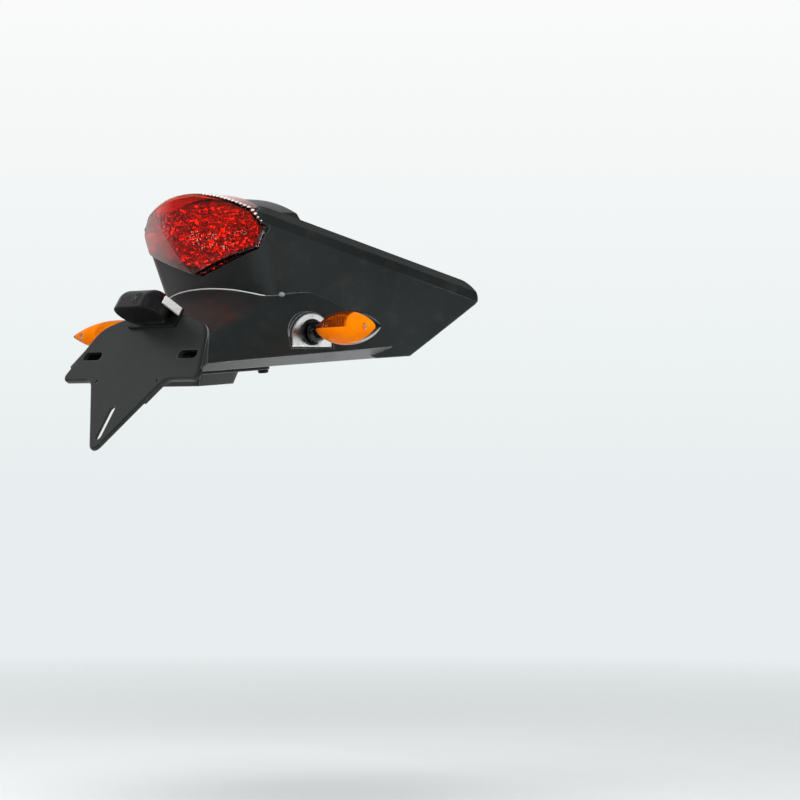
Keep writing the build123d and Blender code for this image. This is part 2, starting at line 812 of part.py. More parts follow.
with BuildPart() as plate_lamp_leds:
    with BuildSketch(lamp_plane(hood_up + lamp_board_rise, hood_out)):
        with GridLocations(chip_pitch, chip_pitch, 3, 1):
            Rectangle(chip_size, chip_size)
    extrude(amount=-chip_height)

# Right-hand indicator, from the boss outwards
with BuildPart() as right_indicator_adaptor:
    extrude(boss_outline(boss_face_x, adaptor_inset), amount=adaptor_thickness)
    with BuildSketch(boss_plane(boss_face_x)):
        Circle(stud_hole_d / 2)
    extrude(amount=adaptor_thickness, mode=Mode.SUBTRACT)

with BuildPart() as right_indicator_stem:
    with BuildSketch(stem_plane):
        with BuildLine():
            bore = stud_d / 2 + stem_gap
            flange_end = stem_start + stem_flange_width
            foot = Polyline(
                (stem_end, bore),
                (stem_start, bore),
                (stem_start, stem_flange_r),
                (flange_end, stem_flange_r),
                (flange_end, stem_end_r),
            )
            bulge = ThreePointArc(
                foot @ 1,
                ((flange_end + stem_end) / 2, stem_waist_r),
                (stem_end, stem_end_r),
            )
            Line(bulge @ 1, foot @ 0)
        make_face()
    revolve(axis=stud_axis)

with BuildPart() as right_indicator_stud:
    with BuildSketch(boss_plane(boss_face_x + stud_outer)):
        Circle(stud_d / 2)
        Circle(stud_bore / 2, mode=Mode.SUBTRACT)
    extrude(amount=-stud_outer - stud_inner)

with BuildPart() as right_indicator_washer:
    with BuildSketch(boss_plane(boss_face_x - wall)):
        Circle(washer_d / 2)
        Circle(stud_hole_d / 2, mode=Mode.SUBTRACT)
    extrude(amount=-washer_thickness)

with BuildPart() as right_indicator_nut:
    with BuildSketch(boss_plane(boss_face_x - wall - washer_thickness)):
        RegularPolygon(nut_width / 2, 6, major_radius=False)
        Circle(stud_d / 2 + stem_gap, mode=Mode.SUBTRACT)
    extrude(amount=-nut_height)

# Space inside the indicator's pod
with BuildPart() as pod_inside:
    revolve(pod_profile(pod_hollow_start, pod_hollow_length, pod_r - pod_wall), axis=pod_axis)

with BuildPart() as right_indicator_body:
    revolve(pod_profile(pod_start, pod_length, pod_r), axis=pod_axis)
    with BuildSketch(boss_plane(boss_face_x + stud_outer)):
        Circle(stud_d / 2)
    extrude(amount=pod_neck_end - stud_outer)
    add(pod_inside.part, mode=Mode.SUBTRACT)
    with BuildSketch(boss_plane(boss_face_x + stud_outer)):
        Circle(pod_wire_d / 2)
    extrude(amount=pod_neck_end - stud_outer, mode=Mode.SUBTRACT)
    with BuildSketch(pod_screw_plane):
        Circle(pod_screw_d / 2 + screw_gap)
    extrude(amount=-pod_screw_length, mode=Mode.SUBTRACT)
    split(bisect_by=pod_split_plane, keep=Keep.BOTTOM)

with BuildPart() as right_indicator_lens:
    revolve(pod_profile(pod_start, pod_length, pod_r), axis=pod_axis)
    add(pod_inside.part, mode=Mode.SUBTRACT)
    with BuildSketch(pod_screw_plane):
        Circle(pod_screw_d / 2 + screw_gap)
    extrude(amount=-pod_screw_length, mode=Mode.SUBTRACT)
    with BuildSketch(pod_screw_plane):
        Circle(pod_head_d / 2 + screw_gap)
    extrude(amount=pod_r, mode=Mode.SUBTRACT)
    split(bisect_by=pod_split_plane, keep=Keep.TOP)

with BuildPart() as right_indicator_reflector:
    outer = pod_r - pod_wall - mirror_gap
    revolve(pod_profile(pod_hollow_start, pod_hollow_length, outer), axis=pod_axis)
    revolve(
        pod_profile(pod_hollow_start, pod_hollow_length, outer - mirror_wall),
        axis=pod_axis,
        mode=Mode.SUBTRACT,
    )
    split(bisect_by=pod_split_plane, keep=Keep.BOTTOM)
    with BuildSketch(mirror_plane):
        Rectangle(4 * pod_r, 4 * pod_r)
    extrude(amount=mirror_end - mirror_start, mode=Mode.INTERSECT)

with BuildPart() as right_indicator_bulb:
    with BuildSketch(pod_plane):
        with BuildLine():
            base = Polyline(
                (bulb_end, bulb_tip_r),
                (bulb_end, 0),
                (bulb_base_start, 0),
                (bulb_base_start, bulb_base_r),
                (bulb_neck_start, bulb_base_r),
                (bulb_neck_start, bulb_neck_r),
                (bulb_glass_start, bulb_neck_r),
            )
            ThreePointArc(
                base @ 1,
                ((bulb_glass_start + bulb_end) / 2, bulb_glass_r),
                base @ 0,
            )
        make_face()
    revolve(axis=pod_axis)

with BuildPart() as right_indicator_lens_screw:
    with BuildSketch(pod_screw_plane):
        Circle(pod_head_d / 2)
    extrude(amount=pod_head_height)
    chamfer(
        right_indicator_lens_screw.edges().group_by(pod_rear_axis)[-1], length=pod_head_height / 3
    )
    with BuildSketch(pod_screw_plane):
        Circle(pod_screw_d / 2)
    extrude(amount=-pod_screw_length)

right_hand = {
    "adaptor": right_indicator_adaptor,
    "stem": right_indicator_stem,
    "stud": right_indicator_stud,
    "washer": right_indicator_washer,
    "nut": right_indicator_nut,
    "body": right_indicator_body,
    "lens": right_indicator_lens,
    "reflector": right_indicator_reflector,
    "bulb": right_indicator_bulb,
    "lens_screw": right_indicator_lens_screw,
}
pieces = {
    "tail_body": tail_body,
    "mounting_sleeves": mounting_sleeves,
    "under_cover": under_cover,
    "under_cover_screws": under_cover_screws,
    "tail_light_lens": tail_light_lens,
    "tail_light_housing": tail_light_housing,
    "tail_light_screws": tail_light_screws,
    "tail_light_reflector": tail_light_reflector,
    "tail_light_board": tail_light_board,
    "tail_light_leds": tail_light_leds,
    "plate_lamp_bracket": plate_lamp_bracket,
    "plate_lamp_bracket_screws": plate_lamp_bracket_screws,
    "plate_lamp_bracket_nuts": plate_lamp_bracket_nuts,
    "plate_lamp_hood": plate_lamp_hood,
    "plate_lamp_screw": plate_lamp_screw,
    "plate_lamp_nut": plate_lamp_nut,
    "plate_lamp_lens": plate_lamp_lens,
    "plate_lamp_board": plate_lamp_board,
    "plate_lamp_leds": plate_lamp_leds,
}
for kind, right in right_hand.items():
    with BuildPart() as left:
        mirror(right.part, about=Plane.YZ)
    pieces["right_indicator_" + kind] = right
    pieces["left_indicator_" + kind] = left

for name, piece in pieces.items():
    piece.part.label = name
    export_step(piece.part, f"parts/{name}.step")
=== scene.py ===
"""Studio picture of a tail tidy: satin moulding, red tail light, plate lamp and amber indicators."""

from math import atan2, cos, pi, radians, sin, sqrt

import bmesh
import bpy
from mathutils import Matrix, Vector


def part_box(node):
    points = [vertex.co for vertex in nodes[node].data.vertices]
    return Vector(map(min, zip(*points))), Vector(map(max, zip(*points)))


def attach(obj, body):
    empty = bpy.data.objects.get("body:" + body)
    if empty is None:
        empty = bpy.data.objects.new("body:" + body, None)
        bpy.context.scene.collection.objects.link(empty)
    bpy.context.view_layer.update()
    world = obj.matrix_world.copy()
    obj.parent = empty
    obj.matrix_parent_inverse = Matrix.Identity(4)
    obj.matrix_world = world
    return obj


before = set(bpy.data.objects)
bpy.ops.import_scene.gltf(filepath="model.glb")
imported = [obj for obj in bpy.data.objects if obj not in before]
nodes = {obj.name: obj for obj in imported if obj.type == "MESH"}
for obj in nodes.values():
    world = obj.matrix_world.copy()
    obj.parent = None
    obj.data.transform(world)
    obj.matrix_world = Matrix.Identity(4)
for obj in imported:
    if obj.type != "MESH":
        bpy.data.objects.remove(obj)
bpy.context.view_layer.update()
scene = bpy.context.scene
scene.view_settings.view_transform = "Standard"

MM = 0.001

# Number-plate carrier: the middle of its face, the way it faces and the way up it
PLATE_TILT = radians(31.5)
PLATE_MIDDLE = Vector((0, -110.2 * MM, -7.8 * MM))
PLATE_OUT = Vector((0, -cos(PLATE_TILT), sin(PLATE_TILT)))
PLATE_UP = Vector((0, sin(PLATE_TILT), cos(PLATE_TILT)))

# Tail light: its lower tip, and its outline as widths and heights from that tip
LIGHT_TIP = Vector((0, -58 * MM, 45 * MM))
LIGHT_CORNER = (67 * MM, 31 * MM)
LIGHT_KEEL = (59.5 * MM, 16 * MM)
LIGHT_TOP = (56 * MM, 43.5 * MM)
LIGHT_APEX = 55.5 * MM
LIGHT_CROWN = LIGHT_APEX - LIGHT_TOP[1]
TOP_ARC_R = (LIGHT_TOP[0] ** 2 + LIGHT_CROWN ** 2) / (2 * LIGHT_CROWN)

# Red lens: how far its front stands to the rear of the tip, and the radius of its bow seen from above
LENS_STAND = 14 * MM
LENS_BOW_R = 180 * MM

# Light sources in the tail light: the first row's height over the tip, and how many are in each row
LED_PITCH = 15 * MM
LED_FIRST = 15 * MM
LED_ROW = 9.2 * MM
LED_ROWS = (3, 7, 7, 3)

# Right indicator: where it starts, the way it runs, and the round hollow inside it
POD_START = Vector((73 * MM, -25.6 * MM, 8.7 * MM))
POD_SWEEP = radians(11.5)
POD_ALONG = Vector((cos(POD_SWEEP), -sin(POD_SWEEP), 0))
POD_REAR = Vector((-sin(POD_SWEEP), -cos(POD_SWEEP), 0))
POD_UP = Vector((0, 0, 1))
POD_MIDDLE = 48 * MM
POD_HOLLOW_R = 9 * MM
POD_HOLLOW_ARC = 70.5 * MM

# The pips at the ends of the bead over the shelf, out from the middle
PIP_HALF = 60 * MM


def srgb(red, green, blue):
    """A screen colour from 0 to 255 as the linear values that shaders take, by the sRGB curve."""
    linear = []
    for value in (red, green, blue):
        share = value / 255
        linear.append(share / 12.92 if share <= 0.04045 else ((share + 0.055) / 1.055) ** 2.4)
    return (*linear, 1.0)


class Value:
    """A shader socket that can be added, subtracted and multiplied."""

    def __init__(self, finish, socket):
        self.finish = finish
        self.socket = socket

    def __add__(self, other):
        return self.finish.maths("ADD", self, other)

    __radd__ = __add__

    def __sub__(self, other):
        return self.finish.maths("SUBTRACT", self, other)

    def __rsub__(self, other):
        return self.finish.maths("SUBTRACT", other, self)

    def __mul__(self, other):
        return self.finish.maths("MULTIPLY", self, other)


class Finish:
    """A material, or the world, whose nodes are added one call at a time."""

    def __init__(self, name, tree=None):
        if tree is None:
            self.material = bpy.data.materials.new(name)
            self.material.use_nodes = True
            tree = self.material.node_tree
            self.surface = tree.nodes["Principled BSDF"]
        self.tree = tree

    def node(self, kind, settings=None, inputs=None, out=0):
        made = self.tree.nodes.new(kind)
        for name, value in (settings or {}).items():
            setattr(made, name, value)
        for name, value in (inputs or {}).items():
            if isinstance(value, Value):
                self.tree.links.new(value.socket, made.inputs[name])
            else:
                made.inputs[name].default_value = value
        return Value(self, made.outputs[out])

    def maths(self, operation, *terms):
        return self.node("ShaderNodeMath", {"operation": operation}, dict(enumerate(terms)))

    def vector_maths(self, operation, *terms):
        """A sum on vectors that gives a number."""
        inputs = dict(enumerate(terms))
        return self.node("ShaderNodeVectorMath", {"operation": operation}, inputs, out="Value")

    def place(self, stretch=None):
        point = self.node("ShaderNodeTexCoord", out="Object")
        if stretch is None:
            return point
        return self.node("ShaderNodeMapping", {}, {"Vector": point, "Scale": stretch})

    def axis(self, letter):
        return self.node("ShaderNodeSeparateXYZ", {}, {"Vector": self.place()}, out=letter)

    def noise(self, scale, detail=3.0, rough=0.55, stretch=None):
        inputs = {"Vector": self.place(stretch), "Scale": scale, "Detail": detail, "Roughness": rough}
        return self.node("ShaderNodeTexNoise", {}, inputs)

    def cells(self, scale, feature="F1"):
        inputs = {"Vector": self.place(), "Scale": scale}
        return self.node("ShaderNodeTexVoronoi", {"feature": feature}, inputs)

    def span(self, value, low, high, to_low=0.0, to_high=1.0):
        """Spread what lies between low and high over two other values, and hold the rest at them."""
        inputs = dict(enumerate((value, low, high, to_low, to_high)))
        return self.node("ShaderNodeMapRange", {"clamp": True}, inputs)

    def vary(self, noise, to_low=0.0, to_high=1.0):
        """Spread a noise's usual range over two values."""
        return self.span(noise, 0.3, 0.7, to_low, to_high)

    def blend(self, factor, first, second):
        """Mix two colours, by the sockets that the mix node keeps for colours."""
        inputs = {0: factor, 6: first, 7: second}
        return self.node("ShaderNodeMix", {"data_type": "RGBA"}, inputs, out=2)

    def bump(self, height, strength, depth, over=None):
        inputs = {"Height": height, "Strength": strength, "Distance": depth}
        if over is not None:
            inputs["Normal"] = over
        return self.node("ShaderNodeBump", {}, inputs)

    def rounded(self, radius):
        return self.node("ShaderNodeBevel", {"samples": 6}, {"Radius": radius})

    def edges(self, softened):
        """One along edges and creases, where the softened normal leaves the face's own."""
        face = self.node("ShaderNodeNewGeometry", out="Normal")
        return self.span(self.vector_maths("DOT_PRODUCT", softened, face), 0.80, 0.985, 1.0, 0.0)

    def smears(self, clean, greasy):
        """Roughness of a wiped lens, from its clean parts to its greasy ones."""
        return self.span(self.noise(120.0, detail=5.0, rough=0.7), 0.5, 0.8, clean, greasy)

    def set(self, **sockets):
        for name, value in sockets.items():
            socket = self.surface.inputs[name.replace("_", " ").title().replace("Ior", "IOR")]
            if isinstance(value, Value):
                self.tree.links.new(value.socket, socket)
            else:
                socket.default_value = value
        return self.material


# Satin plastic: its grain, and where its edges and creases carry a painted highlight (fading upwards and on
# the carrier)
SPARK_GRAIN = 1500.0
DUST = srgb(150, 148, 142)
EDGE_HIGHLIGHT = srgb(190, 192, 191)
EDGE_HIGHLIGHT_HEIGHT = (38 * MM, 50 * MM)
EDGE_HIGHLIGHT_FROM_REAR = (-106 * MM, -98 * MM)


def satin_moulding(name, dark, pale, rough=0.4, edge=1.1 * MM, shine=0.5):
    """Moulded satin plastic: fine spark grain, cloudy tone, a little dust, and rounded edges with a painted
    highlight along them.
    """
    skin = Finish(name)
    cloud = skin.noise(14.0, detail=4.0)
    fine = skin.noise(SPARK_GRAIN, detail=2.0)
    dust = skin.span(skin.noise(90.0, detail=6.0, rough=0.7), 0.52, 0.78)
    colour = skin.blend(skin.span(cloud * 0.8 + fine * 0.2, 0.35, 0.65), dark, pale)
    colour = skin.blend(dust * 0.04, colour, DUST)
    softened = skin.rounded(edge)
    low_down = skin.span(skin.axis("Z"), *EDGE_HIGHLIGHT_HEIGHT, 1.0, 0.15)
    off_carrier = skin.span(skin.axis("Y"), *EDGE_HIGHLIGHT_FROM_REAR, 0.25, 1.0)
    patchy = skin.span(skin.noise(260.0, detail=4.0), 0.25, 0.6, 0.45, 1.0)
    # The pale colour along edges and creases is a painted highlight, not wear
    worn = skin.edges(softened) * (low_down * off_carrier) * patchy
    colour = skin.blend(worn * 0.6, colour, EDGE_HIGHLIGHT)
    height = fine * 0.7 + skin.cells(SPARK_GRAIN * 0.6) * 0.3
    normal = skin.bump(height, strength=0.16, depth=0.12 * MM, over=softened)
    roughness = skin.vary(cloud, rough - 0.05, rough + 0.06) + dust * 0.12 - worn * 0.1
    return skin.set(base_color=colour, roughness=roughness, normal=normal, specular_ior_level=shine)


def gloss_moulding(name, dark, pale, rough=0.16, edge=0.5 * MM, shine=0.5):
    """Smooth glossy plastic with faint orange peel and handling marks."""
    skin = Finish(name)
    haze = skin.noise(60.0, detail=5.0, rough=0.65)
    peel = skin.noise(420.0, detail=1.0)
    colour = skin.blend(skin.span(haze, 0.35, 0.7), dark, pale)
    normal = skin.bump(peel, strength=0.10, depth=0.08 * MM, over=skin.rounded(edge))
    roughness = skin.span(haze, 0.3, 0.75, rough, rough + 0.14)
    return skin.set(base_color=colour, roughness=roughness, normal=normal, specular_ior_level=shine)


def plated_steel(name, dark, pale, rough=0.28):
    """Plated steel: mottled, with small spangle and dull spots."""
    skin = Finish(name)
    mottle = skin.noise(900.0, rough=0.6)
    spots = skin.span(skin.noise(160.0, detail=5.0, rough=0.7), 0.5, 0.75)
    spangle = mottle * 0.6 + skin.cells(300.0) * 0.4
    colour = skin.blend(skin.span(spangle, 0.2, 0.8), dark, pale)
    normal = skin.bump(mottle, strength=0.12, depth=0.05 * MM, over=skin.rounded(0.3 * MM))
    roughness = skin.vary(mottle, rough - 0.06, rough + 0.08) + spots * 0.15
    return skin.set(base_color=colour, metallic=1.0 - spots * 0.15, roughness=roughness, normal=normal)


def polished_steel(name):
    """Polished plate with soft edges, a slight wave and a faint haze."""
    skin = Finish(name)
    haze = skin.noise(140.0, detail=4.0)
    wave = skin.noise(70.0, detail=1.0)
    colour = skin.blend(skin.span(haze, 0.35, 0.7), srgb(206, 208, 208), srgb(246, 247, 247))
    normal = skin.bump(wave, strength=0.6, depth=2.0 * MM, over=skin.rounded(1.4 * MM))
    roughness = skin.vary(haze, 0.24, 0.34)
    return skin.set(base_color=colour, metallic=1.0, roughness=roughness, normal=normal)


# Lamp bracket: how far out from the middle, and how far off the carrier, its sheet leaves the black painted
# shade and shows its bright metal
BRACKET_UNSHADED_OUT = (24.4 * MM, 24.8 * MM)
BRACKET_UNSHADED_OFF = (2.0 * MM, 2.6 * MM)


def shade_painted_bracket(name):
    """Folded bright sheet, painted black as shade but for the two bright ends that stand off the carrier.
    """
    skin = Finish(name)
    lines = skin.noise(900.0, rough=0.6, stretch=(1, 0.06, 1))
    outward = skin.maths("ABSOLUTE", skin.axis("X")) + skin.noise(300.0) * 0.6 * MM
    off_carrier = skin.axis("Y") * PLATE_OUT.y + skin.axis("Z") * PLATE_OUT.z
    off_carrier = off_carrier - PLATE_MIDDLE.dot(PLATE_OUT)
    bare = skin.span(outward, *BRACKET_UNSHADED_OUT) * skin.span(off_carrier, *BRACKET_UNSHADED_OFF)
    bright = skin.blend(skin.vary(lines), srgb(228, 228, 224), srgb(250, 250, 247))
    # Black over the flange is painted shade, where it lies in the shadow of the lamp hood
    colour = skin.blend(bare, srgb(16, 16, 17), bright)
    normal = skin.bump(lines, strength=0.12, depth=0.05 * MM, over=skin.rounded(0.4 * MM))
    return skin.set(base_color=colour, metallic=bare * 0.45, roughness=0.5 - bare * 0.12, normal=normal)


def black_steel(name):
    """Black-oxide steel, worn to bare metal in specks."""
    skin = Finish(name)
    worn = skin.span(skin.noise(520.0, detail=6.0, rough=0.7), 0.62, 0.7)
    colour = skin.blend(worn, srgb(34, 34, 36), srgb(150, 150, 150))
    normal = skin.bump(skin.noise(900.0), strength=0.12, depth=0.05 * MM, over=skin.rounded(0.3 * MM))
    roughness = 0.42 - worn * 0.12
    return skin.set(base_color=colour, metallic=0.75 + worn * 0.25, roughness=roughness, normal=normal)


PLASTIC_IOR = 1.49
GLASS_IOR = 1.52
FLOW_DEPTH = 0.02 * MM


def clear_moulding(name, deep, light, rough, ior=PLASTIC_IOR, shine=0.5, rib_scale=0.0, rib_depth=0.0):
    """Clear tinted plastic or glass with faint flow lines and, on request, moulded ribs."""
    skin = Finish(name)
    flow = skin.noise(35.0, detail=4.0, rough=0.6)
    colour = skin.blend(skin.vary(flow), deep, light)
    height = flow * 0.2
    if rib_depth:
        inputs = {"Vector": skin.place(), "Scale": rib_scale, "Distortion": 0.3, "Detail": 1.0}
        height = height + skin.node("ShaderNodeTexWave", {"bands_direction": "X"}, inputs, out="Fac")
    normal = skin.bump(height, strength=0.5, depth=max(rib_depth, FLOW_DEPTH))
    roughness = skin.smears(rough, rough + 0.03)
    return skin.set(
        base_color=colour, roughness=roughness, normal=normal, transmission_weight=1.0, ior=ior,
        specular_ior_level=shine
    )


# Red lens: the crease that cuts off its left flank runs where across + height * lean = crease
FLANK_LEAN = 0.95
FLANK_CREASE = 42 * MM
FLANK_FALL = 0.07
CELL_DEPTH = 0.28 * MM
CELL_START = (1 * MM, 6 * MM)
CELL_TOP = (84 * MM, 90 * MM)


def red_moulding(name, deep, light):
    """Clear red plastic: a smooth flank on the left, cut off by a crease, and fine lens cells beside it."""
    skin = Finish(name)
    flow = skin.noise(35.0, detail=4.0, rough=0.6)
    colour = skin.blend(skin.vary(flow), deep, light)
    inside = skin.axis("X") + skin.axis("Z") * FLANK_LEAN - FLANK_CREASE
    flank = skin.maths("MINIMUM", inside, 0.0)
    below_top = skin.span(skin.axis("Z"), *CELL_TOP, 1.0, 0.0)
    cells = skin.cells(260.0, "SMOOTH_F1") * skin.span(inside, *CELL_START) * below_top
    height = flank * FLANK_FALL + cells * CELL_DEPTH + flow * 0.05 * MM
    normal = skin.bump(height, strength=1.0, depth=1.0)
    roughness = skin.smears(0.02, 0.05) + skin.span(inside, -1 * MM, 0.0, 0.22, 0.0)
    return skin.set(
        base_color=colour, roughness=roughness, normal=normal, transmission_weight=1.0, ior=PLASTIC_IOR
    )


def bright_metallising(name, dark, pale):
    """Vacuum-metallised reflector: bright, with a slight peel and a few dull patches."""
    skin = Finish(name)
    peel = skin.noise(650.0, detail=2.0)
    colour = skin.blend(skin.span(skin.noise(70.0, detail=4.0), 0.35, 0.7), dark, pale)
    normal = skin.bump(peel, strength=0.3, depth=0.2 * MM, over=skin.rounded(0.3 * MM))
    return skin.set(base_color=colour, metallic=1.0, roughness=skin.vary(peel, 0.22, 0.36), normal=normal)


# Amber lens: the window over its ribs, from its foot up and out to its end, fainter on the left, where its
# colour is darkened with painted shade
WINDOW_FOOT = (8.8 * MM, 9.3 * MM)
WINDOW_END = (137 * MM, 141 * MM)
LEFT_WINDOW = 0.25


def amber_moulding(name, deep, light, shade, cover, window):
    """Amber plastic, clearer in the window over its ribs and darkened there with painted shade."""
    skin = Finish(name)
    flow = skin.noise(40.0, detail=4.0, rough=0.6)
    outward = skin.maths("ABSOLUTE", skin.axis("X"))
    over_ribs = skin.span(skin.axis("Z"), *WINDOW_FOOT) * skin.span(outward, *WINDOW_END, 1.0, 0.0)
    over_ribs = over_ribs * skin.span(skin.axis("X"), -1 * MM, 1 * MM, LEFT_WINDOW, 1.0)
    # Over the ribs the colour turns to the shade colour: painted shade seen through the lens
    colour = skin.blend(over_ribs, skin.blend(skin.vary(flow), deep, light), shade)
    normal = skin.bump(flow, strength=0.2, depth=0.05 * MM)
    veil = cover + over_ribs * (window - cover) + skin.vary(flow, -0.04, 0.04)
    roughness = skin.smears(0.04, 0.12)
    return skin.set(
        base_color=colour, roughness=roughness, normal=normal, alpha=veil, specular_ior_level=0.02
    )


def glowing_satin_mirror(name):
    """Satin reflector that spreads its light and takes the colour of its lens, with a faint painted glow
    though no lamp is lit in it.
    """
    skin = Finish(name)
    peel = skin.noise(260.0)
    colour = skin.blend(skin.span(peel, 0.35, 0.65), srgb(252, 142, 20), srgb(255, 164, 44))
    normal = skin.bump(peel, strength=0.15, depth=0.08 * MM)
    roughness = skin.vary(peel, 0.32, 0.45)
    # The emission is a painted glow: the indicator's bulb is not lit
    return skin.set(
        base_color=colour, metallic=0.25, roughness=roughness, normal=normal, emission_color=colour,
        emission_strength=0.05
    )


def soft_rubber(name):
    """Black moulded rubber with a low bloom and fine flow marks."""
    skin = Finish(name)
    bloom = skin.noise(110.0, detail=5.0, rough=0.65)
    marks = skin.noise(800.0, detail=2.0)
    colour = skin.blend(skin.span(bloom, 0.45, 0.75), srgb(8, 8, 9), srgb(22, 22, 22))
    normal = skin.bump(marks, strength=0.12, depth=0.08 * MM, over=skin.rounded(0.4 * MM))
    return skin.set(base_color=colour, roughness=skin.vary(bloom, 0.12, 0.22), normal=normal)


def lacquered_board(name, base, line):
    """Circuit board: lacquer with pale tracks."""
    skin = Finish(name)
    inputs = {"Vector": skin.place(), "Scale": 160.0, "Mortar Size": 0.04}
    inputs.update({"Color1": base, "Color2": base, "Mortar": line})
    tracks = skin.node("ShaderNodeTexBrick", {"offset": 0.5}, inputs)
    roughness = skin.vary(skin.noise(200.0), 0.28, 0.42)
    normal = skin.bump(skin.noise(600.0), strength=0.1, depth=0.05 * MM)
    return skin.set(base_color=tracks, roughness=roughness, normal=normal)


def light_chip(name, body, spot):
    """Small moulded light source with paler patches."""
    skin = Finish(name)
    colour = skin.blend(skin.span(skin.noise(420.0), 0.35, 0.65), body, spot)
    roughness = skin.vary(skin.noise(700.0), 0.12, 0.25)
    return skin.set(base_color=colour, roughness=roughness, coat_weight=0.6)


zinc = plated_steel("zinc_plate", srgb(150, 150, 150), srgb(198, 198, 196))
finishes = {
    "tail_body": satin_moulding("body_satin", srgb(27, 30, 30), srgb(34, 37, 37), shine=0.32),
    "mounting_sleeves": zinc,
    "under_cover": satin_moulding(
        "cover_satin", srgb(26, 27, 27), srgb(34, 35, 35), rough=0.46, shine=0.2
    ),
    "under_cover_screws": black_steel("black_screw"),
    "tail_light_lens": red_moulding("red_lens", srgb(242, 66, 32), srgb(250, 88, 46)),
    "tail_light_housing": satin_moulding("housing_satin", srgb(20, 20, 21), srgb(28, 28, 29)),
    "tail_light_screws": zinc,
    "tail_light_reflector": bright_metallising(
        "light_mirror", srgb(170, 170, 172), srgb(232, 232, 234)
    ),
    "tail_light_board": lacquered_board("light_board", srgb(206, 206, 200), srgb(150, 128, 84)),
    "tail_light_leds": light_chip("red_led", srgb(150, 10, 12), srgb(235, 60, 40)),
    "plate_lamp_bracket": shade_painted_bracket("bracket_sheet"),
    "plate_lamp_bracket_screws": zinc,
    "plate_lamp_bracket_nuts": zinc,
    "plate_lamp_hood": gloss_moulding(
        "hood_plastic", srgb(14, 14, 16), srgb(24, 24, 26), rough=0.34, edge=0.8 * MM
    ),
    "plate_lamp_screw": black_steel("hood_screw_black"),
    "plate_lamp_nut": zinc,
    # The lamp window is tinted dark: painted shade under the hood, not a smoked lens
    "plate_lamp_lens": clear_moulding(
        "window_smoked", srgb(30, 31, 32), srgb(44, 45, 46), rough=0.3, shine=0.12,
        rib_scale=180.0, rib_depth=0.3 * MM
    ),
    "plate_lamp_board": lacquered_board("lamp_board", srgb(24, 26, 26), srgb(92, 80, 52)),
    "plate_lamp_leds": light_chip("white_chip", srgb(232, 206, 90), srgb(246, 230, 150)),
    "indicator_adaptor": polished_steel("adaptor_bright"),
    "indicator_stem": soft_rubber("stem_rubber"),
    "indicator_stud": zinc,
    "indicator_washer": zinc,
    "indicator_nut": zinc,
    "indicator_body": gloss_moulding("pod_gloss", srgb(12, 12, 13), srgb(20, 20, 21), shine=0.2),
    "indicator_lens": amber_moulding(
        "amber_lens", srgb(255, 122, 0), srgb(255, 140, 8), srgb(146, 58, 6), cover=0.8, window=0.32
    ),
    "indicator_reflector": glowing_satin_mirror("pod_mirror"),
    "indicator_bulb": clear_moulding(
        "bulb_glass", srgb(236, 226, 205), srgb(248, 242, 228), rough=0.02, ior=GLASS_IOR
    ),
    "indicator_lens_screw": plated_steel(
        "lens_screw_bright", srgb(226, 226, 224), srgb(250, 250, 248), rough=0.4
    ),
}
for name, node in nodes.items():
    kind = name.replace("right_", "").replace("left_", "")
    node.data.materials.clear()
    node.data.materials.append(finishes[kind])

# Finishes of the trim that is modelled below
FINE_EDGE = 0.2 * MM
# The ribs are painted dark brown: painted shade on amber plastic
rib_finish = amber_moulding(
    "amber_rib", srgb(70, 24, 2), srgb(120, 50, 8), srgb(60, 20, 2), cover=0.95, window=0.95
)
# The teeth are painted white: painted glints along the red lens's upper edge
tooth_glint_finish = gloss_moulding(
    "tooth_white", srgb(226, 222, 220), srgb(246, 244, 242), rough=0.12, edge=FINE_EDGE
)
ray_finish = gloss_moulding("ray_plastic", srgb(46, 46, 48), srgb(62, 62, 64), rough=0.3, edge=FINE_EDGE)
# The pips are painted pale grey: a painted highlight at each end of the crease
pip_highlight_finish = gloss_moulding("pip_grey", srgb(96, 98, 98), srgb(178, 180, 179), rough=0.12, edge=FINE_EDGE)
# The bead is painted near white: a painted highlight along the crease over the shelf
bead_highlight_finish = satin_moulding(
    "bead_satin", srgb(190, 192, 191), srgb(215, 217, 215), rough=0.3, edge=FINE_EDGE
)

# Camera: the view's turn from straight behind and its lift, and the pixel where the light's tip falls
PICTURE = 800
SENSOR = 36.0
VIEW_TURN = radians(50.0)
VIEW_LIFT = radians(-0.4)
FOCAL_PX = 3300.0
DISTANCE = 2.2
TIP_PX = (203.0, 277.0)
ahead = Vector((-sin(VIEW_TURN) * cos(VIEW_LIFT), cos(VIEW_TURN) * cos(VIEW_LIFT), -sin(VIEW_LIFT)))
across = Vector((cos(VIEW_TURN), sin(VIEW_TURN), 0))
upward = across.cross(ahead)
eye = LIGHT_TIP - ahead * DISTANCE
eye -= across * (TIP_PX[0] - PICTURE / 2) / FOCAL_PX * DISTANCE
eye -= upward * (PICTURE / 2 - TIP_PX[1]) / FOCAL_PX * DISTANCE
camera = bpy.data.objects.new("camera", bpy.data.cameras.new("camera"))
scene.collection.objects.link(camera)
camera.data.sensor_width = SENSOR
camera.data.lens = SENSOR * FOCAL_PX / PICTURE
camera.data.clip_end = 100.0
camera.matrix_world = Matrix.Translation(eye) @ Matrix((across, upward, -ahead)).transposed().to_4x4()
scene.camera = camera

